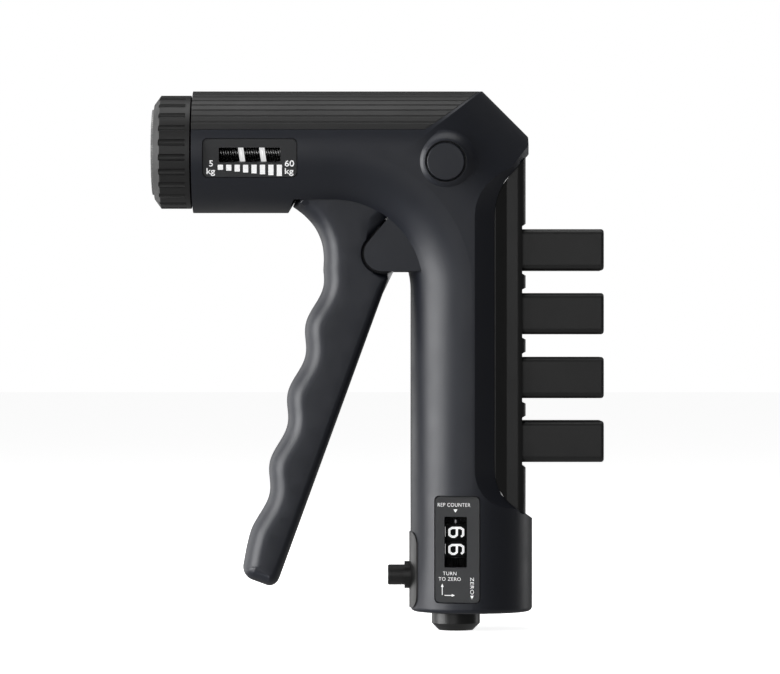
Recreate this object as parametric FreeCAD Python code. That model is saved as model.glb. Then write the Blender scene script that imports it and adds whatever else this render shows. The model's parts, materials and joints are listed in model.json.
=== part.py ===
"""Adjustable hand gripper and finger exerciser, in millimetres.

+Z is up, +X points from the tension knob to the finger keys, and Y = 0 is the plane in which the two
body shells meet. Z = 0 is the bottom of the reset knob and X = 0 is the middle of the overall length.
"""
import FreeCAD, Part
import math
import os

V = FreeCAD.Vector

# Body: a round barrel and a round pillar joined by an elbow
TUBE_R = 19.0
WALL = 2.2
BARREL_Z = 148.8
PILLAR_X = 29.5
ELBOW_R = 43.0
ELBOW_X = PILLAR_X - ELBOW_R
ELBOW_Z = BARREL_Z - ELBOW_R
BARREL_END_X = -57.3
BASE_Z = 5.6
BASE_ROUND = 1.5
CORNER_START = -14.4
CORNER_REACH = 30.3
CORNER_TIP_X = 47.2
CORNER_TIP_Z = 100.0
HALF = 200.0
SEAM = 0.05

# Rear facets and the key housing between them
FACET_X = 30.2
FACET_RUN = 6.3
HOUSING_X = FACET_X + FACET_RUN
HOUSING_REAR_X = 46.2
HOUSING_HALF_Y = 13.0
HOUSING_ROUND = 2.6
HOUSING_BAND_X = 40.2
HOUSING_BAND_Y = 11.9
FACET_TOP = 136.0
FACET_BOTTOM = 42.5
FACET_TOP_SLOPE = 1.1
FACET_BOTTOM_SLOPE = 0.66

# Top cover
COVER_SEAM_DEG = 19.6
RIB_PITCH_DEG = 7.2
RIB_GROOVE_R = 0.5
RIB_GROOVE_RISE = 0.25
COVER_LAP = 0.8
COVER_GAP = 0.2

# Handle and its pivot
PIVOT_X = 1.57
PIVOT_Z = 117.0
CHEEK_R = 5.5
CHEEK_IN = 8.2
CHEEK_OUT = 11.3
SLOT_HALF_Y = 11.6
SLOT_BOTTOM = PIVOT_Z - CHEEK_R - 0.1
SLOT_TOP = 137.0
SLOT_SWING_R = 32.0
PIN_R = 2.5
RUN_GAP = 0.06
GRIP_HALF_Y = 11.2
GROOVE_PITCH = 21.55
GROOVE_DEPTH = 1.25
GROOVE_TOP_Z = 106.4
GROOVE_TOP_X = -18.1
FRONT_SLOPE = 0.26
REAR_SLOPE = math.tan(math.radians(20.0))
ARM_LENGTH = 31.8
ARM_LEAN_DEG = 9.1
NOSE_R = 3.5
ARM_HALF_Y = 2.5
HANDLE_TRAVEL_DEG = 18.2

# Tension spring, its screw and nut
KNOB_X = (-70.5, -57.9)
KNOB_R = 17.65
KNOB_RIBS = 24
SCREW_R = 2.5
LINER_R = (9.2, 11.0)
LINER_X = (-55.0, -9.3)
NUT_X = (-52.2, -49.0)
SPRING_WIRE_R = 1.2
SPRING_COIL_R = 7.0
SPRING_TURNS = 7
CUP_SEAT_X = -0.5
CUP_SKIRT_X = -16.0
DOME_R = 5.0

# Gauge on the barrel and counter on the base: flat plates let into the round surface
GAUGE_TILT_DEG = 7.9
GAUGE_X = (-53.85, -24.45)
GAUGE_HALF_H = 6.15
GAUGE_WINDOW_X = (-48.8, -29.7)
GAUGE_WINDOW_H = (-1.4, 3.2)
GAUGE_FACE = 17.95
COUNTER_TILT_DEG = -15.3
COUNTER_HALF_W = 7.35
COUNTER_Z = (8.8, 42.1)
COUNTER_WINDOW_W = (-4.15, 3.05)
COUNTER_WINDOW_Z = (19.9, 35.6)
COUNTER_FACE = 17.5
PLATE_THICK = 1.0
PLATE_ROUND = 1.6
PLATE_GAP = 0.3
PAD_THICK = 2.2

# Counter works
AXLE_X = 24.6
AXLE_Y = -5.0
AXLE_R = 1.5
WHEEL_R = 9.4
WHEEL_HEIGHT = 5.0
WHEEL_Z = (25.4, 30.7)
RESET_R = 7.5
RESET_TOP = 5.3

# Plunger that the handle presses
PLUNGER_Z = 16.9
PLUNGER_R = 3.17
PLUNGER_TIP_X = 3.4
COLLAR_R = 4.25
PAD_Z = (6.8, 30.4)

# Finger keys
KEY_Z = (118.2, 98.35, 78.5, 58.65)
KEY_HALF_H = 6.4
KEY_HALF_W = 9.8
KEY_X = (33.0, 70.5)
KEY_GAP = 0.35
KEY_MOUTH_DEPTH = 2.4
KEY_MOUTH_FLARE_W = 2.4
KEY_MOUTH_FLARE_H = 1.3
KEY_EDGE_ROUND = 1.9
KEY_TIP_ROUND = 0.9
KEY_SPRING_R = 3.2
KEY_SPRING_WIRE_R = 0.5
KEY_SPRING_TURNS = 7
KEY_SPRING_X = (17.0, 52.0)

# Corner bolt and the shell screws
CORNER_X = 21.3
CORNER_Z = 145.2
BOSS_FACE = 20.0
BOSS_HEIGHT = 4.4
BOSS_FLANK = ((6.5, 0.0), (7.1, 0.25), (7.9, 0.95), (8.8, 1.75), (9.9, 2.3))
CAP_R = 5.9
SCREW_PLACES = ((-42.0, 135.2), (20.5, 88.43), (20.5, 47.6), (40.0, 22.0))


def block(x, y, z):
    """Box from three (low, high) pairs."""
    return Part.makeBox(x[1] - x[0], y[1] - y[0], z[1] - z[0], V(x[0], y[0], z[0]))


def rod_x(y, z, r, x0, x1):
    return Part.makeCylinder(r, x1 - x0, V(x0, y, z), V(1, 0, 0))


def rod_y(x, z, r, y0, y1):
    return Part.makeCylinder(r, y1 - y0, V(x, y0, z), V(0, 1, 0))


def rod_z(x, y, r, z0, z1):
    return Part.makeCylinder(r, z1 - z0, V(x, y, z0), V(0, 0, 1))


def join(shapes):
    return shapes[0].multiFuse(shapes[1:]).removeSplitter()


def outline(corners, y=0.0):
    """Closed face in a plane of constant Y through (x, z, corner radius) points."""
    stops = []
    for i, (x, z, r) in enumerate(corners):
        here = V(x, y, z)
        back = V(corners[i - 1][0], y, corners[i - 1][1]) - here
        ahead = V(corners[(i + 1) % len(corners)][0], y, corners[(i + 1) % len(corners)][1]) - here
        back.normalize()
        ahead.normalize()
        half = back.getAngle(ahead) / 2
        reach = r / math.tan(half)
        inward = back + ahead
        inward.normalize()
        middle = here + inward * (r / math.sin(half) - r)
        stops.append((here + back * reach, middle, here + ahead * reach, r))
    edges = []
    for i, (start, middle, end, r) in enumerate(stops):
        if r > 0:
            edges.append(Part.Arc(start, middle, end).toShape())
        following = stops[(i + 1) % len(stops)][0]
        if end.distanceToPoint(following) > 1e-6:
            edges.append(Part.LineSegment(end, following).toShape())
    return Part.Face(Part.Wire(edges))


def plate(corners, y0, y1):
    """Outline in the XZ plane, from y0 to y1 along Y."""
    return outline(corners, y0).extrude(V(0, y1 - y0, 0))


def rectangle(x, z, r):
    """Corners of a rounded rectangle from two (low, high) pairs."""
    return [(x[0], z[0], r), (x[1], z[0], r), (x[1], z[1], r), (x[0], z[1], r)]


def link(x0, z0, r0, x1, z1, r1, y0, y1):
    """Two discs and the straight sides that touch both, from y0 to y1."""
    run = V(x1 - x0, 0, z1 - z0)
    lean = math.acos((r0 - r1) / run.Length)
    heading = math.atan2(run.z, run.x)
    points = []
    for x, z, r, side in ((x0, z0, r0, 1), (x1, z1, r1, 1), (x1, z1, r1, -1), (x0, z0, r0, -1)):
        angle = heading + side * lean
        points.append((x + r * math.cos(angle), z + r * math.sin(angle), 0))
    return join([rod_y(x0, z0, r0, y0, y1), rod_y(x1, z1, r1, y0, y1), plate(points, y0, y1)])


def helix(x0, x1, turns, coil_r, wire_r, y=0.0, z=0.0):
    """Open coil spring along +X, its ends just inside x0 and x1."""
    length = x1 - x0 - 2 * wire_r
    path = Part.makeHelix(length / turns, length, coil_r)
    section = Part.Wire(Part.makeCircle(wire_r, V(coil_r, 0, 0), V(0, 1, 0)))
    coil = Part.Wire(path.Edges).makePipeShell([section], True, True)
    coil.rotate(V(0, 0, 0), V(0, 1, 0), 90)
    coil.translate(V(x0 + wire_r, y, z))
    return coil


# Body shells


def facet_corners(x):
    """Outline of what is cut away behind the pillar, for a crease at x."""
    far = x + 50
    top = FACET_TOP + (far - x) * FACET_TOP_SLOPE
    bottom = FACET_BOTTOM - (far - x) * FACET_BOTTOM_SLOPE
    return [(far, top, 0), (x, FACET_TOP, 20), (x, FACET_BOTTOM, 14), (far, bottom, 0)]


def facet_cutters(inset):
    """The two slanting cuts that leave the facets, moved inwards by inset."""
    start_y = TUBE_R + 2.0
    rise = start_y - HOUSING_HALF_Y
    slant = FACET_RUN / (TUBE_R - HOUSING_HALF_Y)
    start_x = HOUSING_X - rise * slant - inset * math.sqrt(2)
    cutters = []
    for side in (-1, 1):
        face = outline(facet_corners(start_x), side * start_y)
        cutters.append(face.extrude(V(rise * slant, -side * rise, 0)))
    return cutters


def corner_prism(half_y, reach):
    """Everything inside the sloping, elliptic corner surface; its ellipse starts at CORNER_START."""
    ellipse = Part.Ellipse(V(CORNER_START, 0, 0), reach, half_y)
    bulge = Part.ArcOfEllipse(ellipse, -math.pi / 2, math.pi / 2).toShape()
    low = V(CORNER_START, -half_y, 0)
    high = V(CORNER_START, half_y, 0)
    low_far = V(-HALF, -half_y, 0)
    high_far = V(-HALF, half_y, 0)
    stops = [high, high_far, low_far, low]
    sides = [Part.LineSegment(start, end).toShape() for start, end in zip(stops, stops[1:])]
    wire = Part.Wire([bulge] + sides)
    prism = Part.Face(wire).extrude(V(0, 0, 2 * HALF))
    prism.translate(V(0, 0, -HALF))
    prism.rotate(V(0, 0, 0), V(0, 1, 0), -45)
    prism.translate(V(PILLAR_X, 0, BARREL_Z))
    return prism


def envelope(r, end_x, base_z):
    """The body's outer form for tube radius r, without the rear cuts."""
    upper = block((ELBOW_X, PILLAR_X), (-r, r), (BARREL_Z, BARREL_Z + r))
    behind = block((PILLAR_X, PILLAR_X + r), (-r, r), (ELBOW_Z, BARREL_Z))
    outer = block((PILLAR_X, PILLAR_X + r), (-r, r), (BARREL_Z, BARREL_Z + r))
    square = block((ELBOW_X, PILLAR_X), (-r, r), (ELBOW_Z, BARREL_Z))
    whole_barrel = rod_x(0, BARREL_Z, r, end_x, PILLAR_X + r)
    whole_pillar = rod_z(PILLAR_X, 0, r, base_z, BARREL_Z + r)
    ring = Part.Face(Part.Wire(Part.makeCircle(r, V(PILLAR_X, 0, ELBOW_Z), V(0, 0, 1))))
    ring = ring.common(Part.makeBox(r, 2 * r, 1, V(PILLAR_X - r, -r, ELBOW_Z)))
    bend = ring.revolve(V(ELBOW_X, 0, ELBOW_Z), V(0, -1, 0), 90)
    pieces = [
        rod_x(0, BARREL_Z, r, end_x, ELBOW_X),
        whole_barrel.common(upper),
        bend,
        square.cut(rod_y(ELBOW_X, ELBOW_Z, ELBOW_R, -r, r)),
        rod_z(PILLAR_X, 0, r, base_z, ELBOW_Z),
        whole_pillar.common(behind),
        whole_barrel.common(whole_pillar).common(outer),
    ]
    return join(pieces).common(corner_prism(r, CORNER_REACH - (TUBE_R - r)))


def cover_region(r_in, r_out, gap, lap):
    """The part of the barrel wall that the top cover takes up; it ends lap short of the corner surface."""
    seam_z = BARREL_Z + TUBE_R * math.sin(math.radians(COVER_SEAM_DEG)) - gap
    ring = rod_x(0, BARREL_Z, r_out, BARREL_END_X - gap, PILLAR_X + TUBE_R)
    ring = ring.cut(rod_x(0, BARREL_Z, r_in, BARREL_END_X - 1, PILLAR_X + TUBE_R + 1))
    top = block((-HALF, HALF), (-HALF, HALF), (seam_z, HALF))
    return ring.common(top).common(corner_prism(TUBE_R - lap / 2, CORNER_REACH - lap))


def on_barrel(shape):
    """Turns a shape that faces -Y to the gauge's tilt about the barrel's axis."""
    shape.rotate(V(0, 0, BARREL_Z), V(1, 0, 0), GAUGE_TILT_DEG)
    return shape


def on_pillar(shape):
    """Moves a shape that faces -Y, with x measured from the pillar's axis, to the counter's tilt."""
    shape.translate(V(PILLAR_X, 0, 0))
    shape.rotate(V(PILLAR_X, 0, 0), V(0, 0, 1), COUNTER_TILT_DEG)
    return shape


def gauge_slab(x, h, r, depth_in, depth_out):
    """Rounded block for the gauge, between two distances from the barrel's axis."""
    corners = rectangle(x, (BARREL_Z + h[0], BARREL_Z + h[1]), r)
    return on_barrel(plate(corners, -depth_out, -depth_in))


def counter_slab(w, z, r, depth_in, depth_out):
    """Rounded block for the counter, between two distances from the pillar's axis."""
    return on_pillar(plate(rectangle(w, z, r), -depth_out, -depth_in))


def shell_fittings(cavity):
    """Ribs, pads and screw posts inside the shells."""
    gauge_floor = GAUGE_FACE - PLATE_THICK
    counter_floor = COUNTER_FACE - PLATE_THICK
    around = 1.4
    gauge_x = (GAUGE_X[0] + 0.3, GAUGE_X[1] + around)
    gauge_h = (-GAUGE_HALF_H - around, GAUGE_HALF_H + around)
    counter_w = (-COUNTER_HALF_W - around, COUNTER_HALF_W + around)
    counter_z = (BASE_Z + 1, COUNTER_Z[1] + around)
    pads = [
        gauge_slab(gauge_x, gauge_h, 1, gauge_floor - PAD_THICK, TUBE_R - 1),
        counter_slab(counter_w, counter_z, 1, counter_floor - PAD_THICK, TUBE_R - 1),
    ]
    ribs = []
    for x in (LINER_X[0] + 2.0, LINER_X[1] - 4.0):
        ribs.append(rod_x(0, BARREL_Z, TUBE_R - 1, x, x + 2.0))
    ribs.append(block((14.5, 19.0), (-TUBE_R, -CHEEK_OUT - SEAM), (113.0, 123.0)))
    ribs.append(block((14.5, 19.0), (CHEEK_OUT + SEAM, TUBE_R), (113.0, 123.0)))
    wheel_room = rod_z(AXLE_X, AXLE_Y, WHEEL_R + 0.4, COUNTER_WINDOW_Z[0], COUNTER_WINDOW_Z[1])
    pads[1] = pads[1].cut(wheel_room)
    posts = [rod_y(x, z, 2.4, -TUBE_R, TUBE_R) for x, z in SCREW_PLACES]
    posts.append(rod_y(CORNER_X, CORNER_Z, 5.0, -TUBE_R, TUBE_R))
    return [piece.common(cavity) for piece in pads + ribs + posts]


def shell_openings():
    """Everything that is cut through the shells."""
    gauge_floor = GAUGE_FACE - PLATE_THICK
    counter_floor = COUNTER_FACE - PLATE_THICK
    cuts = [
        cover_region(TUBE_R - WALL - 0.1, TUBE_R + 1, 0.1, COVER_LAP - COVER_GAP),
        rod_x(0, BARREL_Z, LINER_R[1] + SEAM, LINER_X[0], LINER_X[1]),
        rod_x(0, BARREL_Z, 5.0, BARREL_END_X - 1, LINER_X[0]),
        gauge_slab(GAUGE_X, (-GAUGE_HALF_H, GAUGE_HALF_H), PLATE_ROUND, gauge_floor, TUBE_R + 2),
        gauge_slab(GAUGE_WINDOW_X, GAUGE_WINDOW_H, 0.4, LINER_R[1] - 1, TUBE_R),
        counter_slab((-COUNTER_HALF_W, COUNTER_HALF_W), COUNTER_Z, PLATE_ROUND, counter_floor, TUBE_R + 2),
        counter_slab((-5.0, 4.0), COUNTER_WINDOW_Z, 0.4, 9.0, TUBE_R),
        rod_z(AXLE_X, AXLE_Y, AXLE_R + 0.6, BASE_Z - 1, BASE_Z + WALL + 1),
        rod_x(0, PLUNGER_Z, COLLAR_R + SEAM, 8.0, 14.5),
        pad_region(0.05),
    ]
    swing = rod_y(PIVOT_X, PIVOT_Z, SLOT_SWING_R, -SLOT_HALF_Y, SLOT_HALF_Y)
    reach = block((-HALF, 18.0), (-SLOT_HALF_Y, SLOT_HALF_Y), (SLOT_BOTTOM, SLOT_TOP))
    cuts.append(swing.common(reach))
    cuts.append(plate(facet_corners(HOUSING_X - 0.12), -HOUSING_HALF_Y - 0.1, HOUSING_HALF_Y + 0.1))
    return cuts


def boss(side):
    """Raised round the corner bolt, with a flank that steepens and flattens out again."""
    flank = Part.BSplineCurve()
    flank.interpolate([V(r, BOSS_FACE - drop, 0) for r, drop in BOSS_FLANK])
    inner = BOSS_FACE - BOSS_HEIGHT
    stops = [V(BOSS_FLANK[-1][0], BOSS_FACE - BOSS_FLANK[-1][1], 0), V(BOSS_FLANK[-1][0], inner, 0),
             V(0, inner, 0), V(0, BOSS_FACE, 0), V(BOSS_FLANK[0][0], BOSS_FACE, 0)]
    edges = [Part.LineSegment(start, end).toShape() for start, end in zip(stops, stops[1:])]
    turned = Part.Face(Part.Wire([flank.toShape()] + edges)).revolve(V(0, 0, 0), V(0, 1, 0), 360)
    if side < 0:
        turned.rotate(V(0, 0, 0), V(1, 0, 0), 180)
    turned.translate(V(CORNER_X, 0, CORNER_Z))
    return turned


def hollow_body():
    outer = envelope(TUBE_R, BARREL_END_X, BASE_Z)
    outer = outer.cut(block((CORNER_TIP_X, HALF), (-HALF, HALF), (CORNER_TIP_Z, HALF)))
    cavity = envelope(TUBE_R - WALL, BARREL_END_X + WALL, BASE_Z + WALL)
    cavity = cavity.cut(block((CORNER_TIP_X - WALL, HALF), (-HALF, HALF), (CORNER_TIP_Z, HALF)))
    for cutter in facet_cutters(0.0):
        outer = outer.cut(cutter)
    for cutter in facet_cutters(WALL):
        cavity = cavity.cut(cutter)
    foot = [edge for edge in outer.Edges if edge.BoundBox.ZMax < BASE_Z + 0.01]
    outer = outer.makeFillet(BASE_ROUND, foot)
    outer = outer.fuse([boss(-1), boss(1)])
    body = outer.cut(cavity).fuse(shell_fittings(cavity))
    body = body.cut(shell_openings())
    bolt_holes = []
    for side in (-1, 1):
        face_y = side * (BOSS_FACE + 1)
        inner_y = side * (BOSS_FACE - 3.2)
        bolt_holes.append(rod_y(CORNER_X, CORNER_Z, CAP_R + 0.5, min(face_y, inner_y), max(face_y, inner_y)))
    bolt_holes.append(rod_y(CORNER_X, CORNER_Z, 2.05, -TUBE_R, TUBE_R))
    return body.cut(bolt_holes)


def make_shells():
    body = hollow_body()
    left = body.common(block((-HALF, HALF), (-HALF, -SEAM / 2), (-HALF, HALF)))
    right = body.common(block((-HALF, HALF), (SEAM / 2, HALF), (-HALF, HALF)))
    pilots = [rod_y(x, z, 1.25, -9.0, TUBE_R) for x, z in SCREW_PLACES]
    heads = []
    for x, z in SCREW_PLACES:
        heads.append(rod_y(x, z, 2.75, screw_head_y(x, z) - 2.0, TUBE_R + 1))
    left = left.cut(pilots)
    right = right.cut(pilots + heads)
    return biggest(left), biggest(right)


def biggest(shape):
    return max(shape.Solids, key=lambda solid: solid.Volume)


def screw_head_y(x, z):
    """How far out the shell's surface is at a screw."""
    across = z - BARREL_Z if x < ELBOW_X else x - PILLAR_X
    return math.sqrt(TUBE_R ** 2 - across ** 2) - 0.8


def make_shell_screws():
    screws = []
    for x, z in SCREW_PLACES:
        top = screw_head_y(x, z)
        head = rod_y(x, z, 2.5, top - 2.0, top)
        slot = block((x - 1.8, x + 1.8), (top - 0.8, top + 1), (z - 0.35, z + 0.35))
        screws.append(head.fuse(rod_y(x, z, 1.2, -8.0, top - 2.0)).cut(slot))
    return Part.makeCompound(screws)


def make_top_cover():
    cover = cover_region(TUBE_R - WALL, TUBE_R, 0.0, COVER_LAP)
    grooves = []
    count = round((180 - 2 * COVER_SEAM_DEG) / RIB_PITCH_DEG)
    for i in range(1, count):
        angle = math.radians(COVER_SEAM_DEG + (180 - 2 * COVER_SEAM_DEG) * i / count)
        y = (TUBE_R + RIB_GROOVE_RISE) * math.cos(angle)
        z = BARREL_Z + (TUBE_R + RIB_GROOVE_RISE) * math.sin(angle)
        grooves.append(rod_x(y, z, RIB_GROOVE_R, BARREL_END_X - 1, PILLAR_X + TUBE_R))
    return cover.cut(grooves)


# Gauge


def make_gauge_plate():
    x = (GAUGE_X[0] + PLATE_GAP, GAUGE_X[1] - PLATE_GAP)
    h = (-GAUGE_HALF_H + PLATE_GAP, GAUGE_HALF_H - PLATE_GAP)
    face = gauge_slab(x, h, PLATE_ROUND, GAUGE_FACE - PLATE_THICK, GAUGE_FACE)
    return face.cut(gauge_slab(GAUGE_WINDOW_X, GAUGE_WINDOW_H, 0.4, GAUGE_FACE - 5, GAUGE_FACE + 1))


def make_gauge_lens():
    x = (GAUGE_WINDOW_X[0] + 0.05, GAUGE_WINDOW_X[1] - 0.05)
    h = (GAUGE_WINDOW_H[0] + 0.05, GAUGE_WINDOW_H[1] - 0.05)
    return gauge_slab(x, h, 0.35, GAUGE_FACE - 1.8, GAUGE_FACE - 0.8)


def liner_window():
    x = (NUT_X[0] + 0.2, GAUGE_WINDOW_X[1] + 1.5)
    return block(x, (-TUBE_R, -4.0), (BARREL_Z - 4.2, BARREL_Z + 2.6))


def make_spring_tube():
    tube = rod_x(0, BARREL_Z, LINER_R[1], LINER_X[0] + SEAM, LINER_X[1])
    tube = tube.cut(rod_x(0, BARREL_Z, LINER_R[0], LINER_X[0] - 1, LINER_X[1] + 1))
    return tube.cut(liner_window())


def make_screw_bush():
    flange = rod_x(0, BARREL_Z, 8.5, LINER_X[0] - SEAM, LINER_X[0] + 1.5)
    bush = rod_x(0, BARREL_Z, 4.95, BARREL_END_X, LINER_X[0]).fuse(flange)
    return bush.cut(rod_x(0, BARREL_Z, SCREW_R + RUN_GAP, BARREL_END_X - 1, LINER_X[0] + 2))


def make_tension_knob():
    knob = rod_x(0, BARREL_Z, KNOB_R, KNOB_X[0] + 1.2, KNOB_X[1])
    hub_cut = rod_x(0, BARREL_Z, 13.4, KNOB_X[0], KNOB_X[0] + 2.2)
    nose = Part.makeCone(13.6, KNOB_R + 0.9, 3.6, V(KNOB_X[0] + 0.3, 0, BARREL_Z), V(1, 0, 0))
    nose = nose.fuse(rod_x(0, BARREL_Z, KNOB_R + 0.9, KNOB_X[0] + 3.9, KNOB_X[1]))
    flutes = []
    for i in range(KNOB_RIBS):
        angle = 2 * math.pi * (i + 0.5) / KNOB_RIBS
        y = (KNOB_R + 0.35) * math.cos(angle)
        z = BARREL_Z + (KNOB_R + 0.35) * math.sin(angle)
        flutes.append(rod_x(y, z, 1.15, KNOB_X[0] + 2.9, KNOB_X[1] - 1.4))
    knob = knob.common(nose).cut(flutes).cut(hub_cut)
    return knob.cut(rod_x(0, BARREL_Z, SCREW_R, KNOB_X[0], KNOB_X[1] + 1))


def make_knob_end_cap():
    cap = rod_x(0, BARREL_Z, 13.3, KNOB_X[0] + 0.5, KNOB_X[0] + 2.15)
    dome = Part.makeSphere(180.0, V(KNOB_X[0] + 180.0, 0, BARREL_Z))
    lid = rod_x(0, BARREL_Z, 13.3, KNOB_X[0] - 1, KNOB_X[0] + 2.15).common(dome)
    return cap.fuse(lid).removeSplitter()


def make_lead_screw():
    screw = rod_x(0, BARREL_Z, SCREW_R, KNOB_X[0] + 2.4, -24.0)
    return screw.makeChamfer(0.5, [edge for edge in screw.Edges if edge.BoundBox.XMin > -25])


def make_screw_clip():
    ring = rod_x(0, BARREL_Z, 4.2, LINER_X[0] + 1.7, LINER_X[0] + 2.7)
    return ring.cut(rod_x(0, BARREL_Z, SCREW_R, LINER_X[0], LINER_X[0] + 4))


def make_spring_nut():
    nut = rod_x(0, BARREL_Z, LINER_R[0] - 0.1, NUT_X[0], NUT_X[1])
    key = block((NUT_X[0] + 0.4, NUT_X[1] - 0.4), (-LINER_R[1] + 0.7, -6.0), (BARREL_Z - 3.6, BARREL_Z + 2.0))
    bore = rod_x(0, BARREL_Z, SCREW_R + RUN_GAP, NUT_X[0] - 1, NUT_X[1] + 1)
    return nut.fuse(key).cut(bore)


def make_spring_cup():
    face_x = PIVOT_X + ARM_LENGTH * math.sin(math.radians(ARM_LEAN_DEG)) - NOSE_R - 0.15
    cup = rod_x(0, BARREL_Z, LINER_R[0] - 0.08, CUP_SKIRT_X, CUP_SEAT_X + 1.0)
    dome = Part.makeSphere(DOME_R, V(face_x - DOME_R, 0, BARREL_Z))
    dome = dome.common(rod_x(0, BARREL_Z, DOME_R, CUP_SEAT_X + 0.5, face_x))
    room = rod_x(0, BARREL_Z, SPRING_COIL_R + SPRING_WIRE_R + 0.25, CUP_SKIRT_X - 1, CUP_SEAT_X)
    return cup.fuse(dome).cut(room)


def make_main_spring():
    return helix(NUT_X[1], CUP_SEAT_X, SPRING_TURNS, SPRING_COIL_R, SPRING_WIRE_R, 0.0, BARREL_Z)


# Corner bolt


def make_corner_bolt():
    head = rod_y(CORNER_X, CORNER_Z, 3.6, -BOSS_FACE + 1.2, -BOSS_FACE + 3.1)
    return head.fuse(rod_y(CORNER_X, CORNER_Z, 2.0, -BOSS_FACE + 3.1, BOSS_FACE - 1.3))


def make_corner_nut():
    points = []
    for i in range(6):
        angle = math.radians(60 * i)
        points.append((CORNER_X + 4.0 * math.cos(angle), CORNER_Z + 4.0 * math.sin(angle), 0))
    return plate(points, BOSS_FACE - 3.1, BOSS_FACE - 1.2).cut(rod_y(CORNER_X, CORNER_Z, 2.0, 0, BOSS_FACE))


def make_corner_cap(side):
    cap = Part.makeCylinder(CAP_R, 3.1, V(CORNER_X, side * BOSS_FACE, CORNER_Z), V(0, -side, 0))
    face = [edge for edge in cap.Edges if abs(abs(edge.BoundBox.YMin) - BOSS_FACE) < 0.01]
    cap = cap.makeFillet(0.5, [edge for edge in face if edge.BoundBox.YLength < 0.01])
    room = Part.makeCylinder(4.2, 2.2, V(CORNER_X, side * (BOSS_FACE - 1.1), CORNER_Z), V(0, -side, 0))
    return cap.cut(room)


# Handle


def cheek_outline(grow, y0, y1):
    """Hinge cheek, a round end that widens towards the pillar, made larger by grow."""
    r = CHEEK_R + grow
    top_x = PIVOT_X + 2.7 - grow
    top_z = 128.9
    reach = math.hypot(top_x - PIVOT_X, top_z - PIVOT_Z)
    angle = math.atan2(top_z - PIVOT_Z, top_x - PIVOT_X) + math.acos(r / reach)
    touch = (PIVOT_X + r * math.cos(angle), PIVOT_Z + r * math.sin(angle), 0)
    right = 19.5 + 10 * grow
    points = [touch, (top_x, top_z, 0), (right, top_z, 0), (right, PIVOT_Z - r, 0), (PIVOT_X, PIVOT_Z - r, 0)]
    return join([rod_y(PIVOT_X, PIVOT_Z, r, y0, y1), plate(points, y0, y1)])


def make_cheek(side):
    low, high = sorted((side * CHEEK_IN, side * CHEEK_OUT))
    cheek = cheek_outline(0.0, low, high)
    inside = envelope(TUBE_R - WALL - 0.1, BARREL_END_X, BASE_Z)
    slot = block((-10, 16.0), (-CHEEK_OUT, CHEEK_OUT), (SLOT_BOTTOM - 0.1, SLOT_TOP - 0.5))
    room = inside.fuse(slot)
    bore_low, bore_high = sorted((side * (CHEEK_IN - 1), side * (CHEEK_OUT - 1.0)))
    return biggest(cheek.common(room).cut(rod_y(PIVOT_X, PIVOT_Z, PIN_R, bore_low, bore_high)))


def make_handle_pin():
    return rod_y(PIVOT_X, PIVOT_Z, PIN_R, -CHEEK_OUT + 1.05, CHEEK_OUT - 1.05)


def front_x(z):
    """Front of the grip at height z: a leaning line with one wave for each finger."""
    down = GROOVE_TOP_Z - z
    return GROOVE_TOP_X - FRONT_SLOPE * down + GROOVE_DEPTH * math.cos(2 * math.pi * down / GROOVE_PITCH)


def grip_face():
    """Side outline of the grip, in the plane Y = 0."""
    wave = []
    steps = 15
    for i in range(steps + 1):
        z = GROOVE_TOP_Z + GROOVE_PITCH / 2 - i * GROOVE_PITCH / 4
        wave.append(V(front_x(z), 0, z))
    rear_top = V(3.4, 0, 109.0)
    foot_z = 12.9
    rear_foot = V(rear_top.x - (rear_top.z - foot_z) * REAR_SLOPE, 0, foot_z)
    across = V(-math.cos(math.radians(20)), 0, math.sin(math.radians(20)))
    front_foot = rear_foot + across * 11.4
    crown_r = 30.6
    crown = []
    for angle in (111.0, 87.0, 59.5):
        turn = math.radians(angle)
        crown.append(V(ELBOW_X + crown_r * math.cos(turn), 0, ELBOW_Z + crown_r * math.sin(turn)))
    brow = [V(-26.1, 0, 131.7), V(-19.6, 0, 125.3), wave[0]]
    front = Part.BSplineCurve()
    front.interpolate(wave)
    toe = wave[-1] + (front_foot - wave[-1]) * 0.88
    heel = rear_foot + (rear_top - rear_foot) * 0.03
    heel_front = rear_foot + across * 3.0
    toe_low = front_foot - across * 2.8
    edges = [
        Part.Arc(*crown).toShape(),
        Part.LineSegment(crown[2], V(rear_top.x, 0, PIVOT_Z)).toShape(),
        Part.LineSegment(V(rear_top.x, 0, PIVOT_Z), rear_top).toShape(),
        Part.LineSegment(rear_top, heel).toShape(),
        Part.Arc(heel, rear_foot + across * 0.9 + (heel - rear_foot) * 0.3, heel_front).toShape(),
        Part.LineSegment(heel_front, toe_low).toShape(),
        Part.Arc(toe_low, front_foot - across * 0.8 + (toe - front_foot) * 0.28, toe).toShape(),
        Part.LineSegment(toe, wave[-1]).toShape(),
        front.toShape(),
        Part.Arc(*brow).toShape(),
        Part.LineSegment(brow[0], crown[0]).toShape(),
    ]
    return Part.Face(Part.Wire(Part.__sortEdges__(edges)))


def arm_outline(grow, half_y):
    """Steel arm: nose, hub and the leg inside the grip, made larger by grow."""
    lean = math.radians(ARM_LEAN_DEG)
    nose_x = PIVOT_X + ARM_LENGTH * math.sin(lean)
    nose_z = PIVOT_Z + ARM_LENGTH * math.cos(lean)
    leg_z = 60.0
    leg_x = PIVOT_X - 4.0 - (PIVOT_Z - leg_z) * REAR_SLOPE
    upper = link(PIVOT_X, PIVOT_Z, 4.5 + grow, nose_x, nose_z, NOSE_R + grow, -half_y, half_y)
    lower = link(PIVOT_X, PIVOT_Z, 5.6 + grow, leg_x, leg_z, 3.2 + grow, -half_y, half_y)
    return join([upper, lower])


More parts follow.
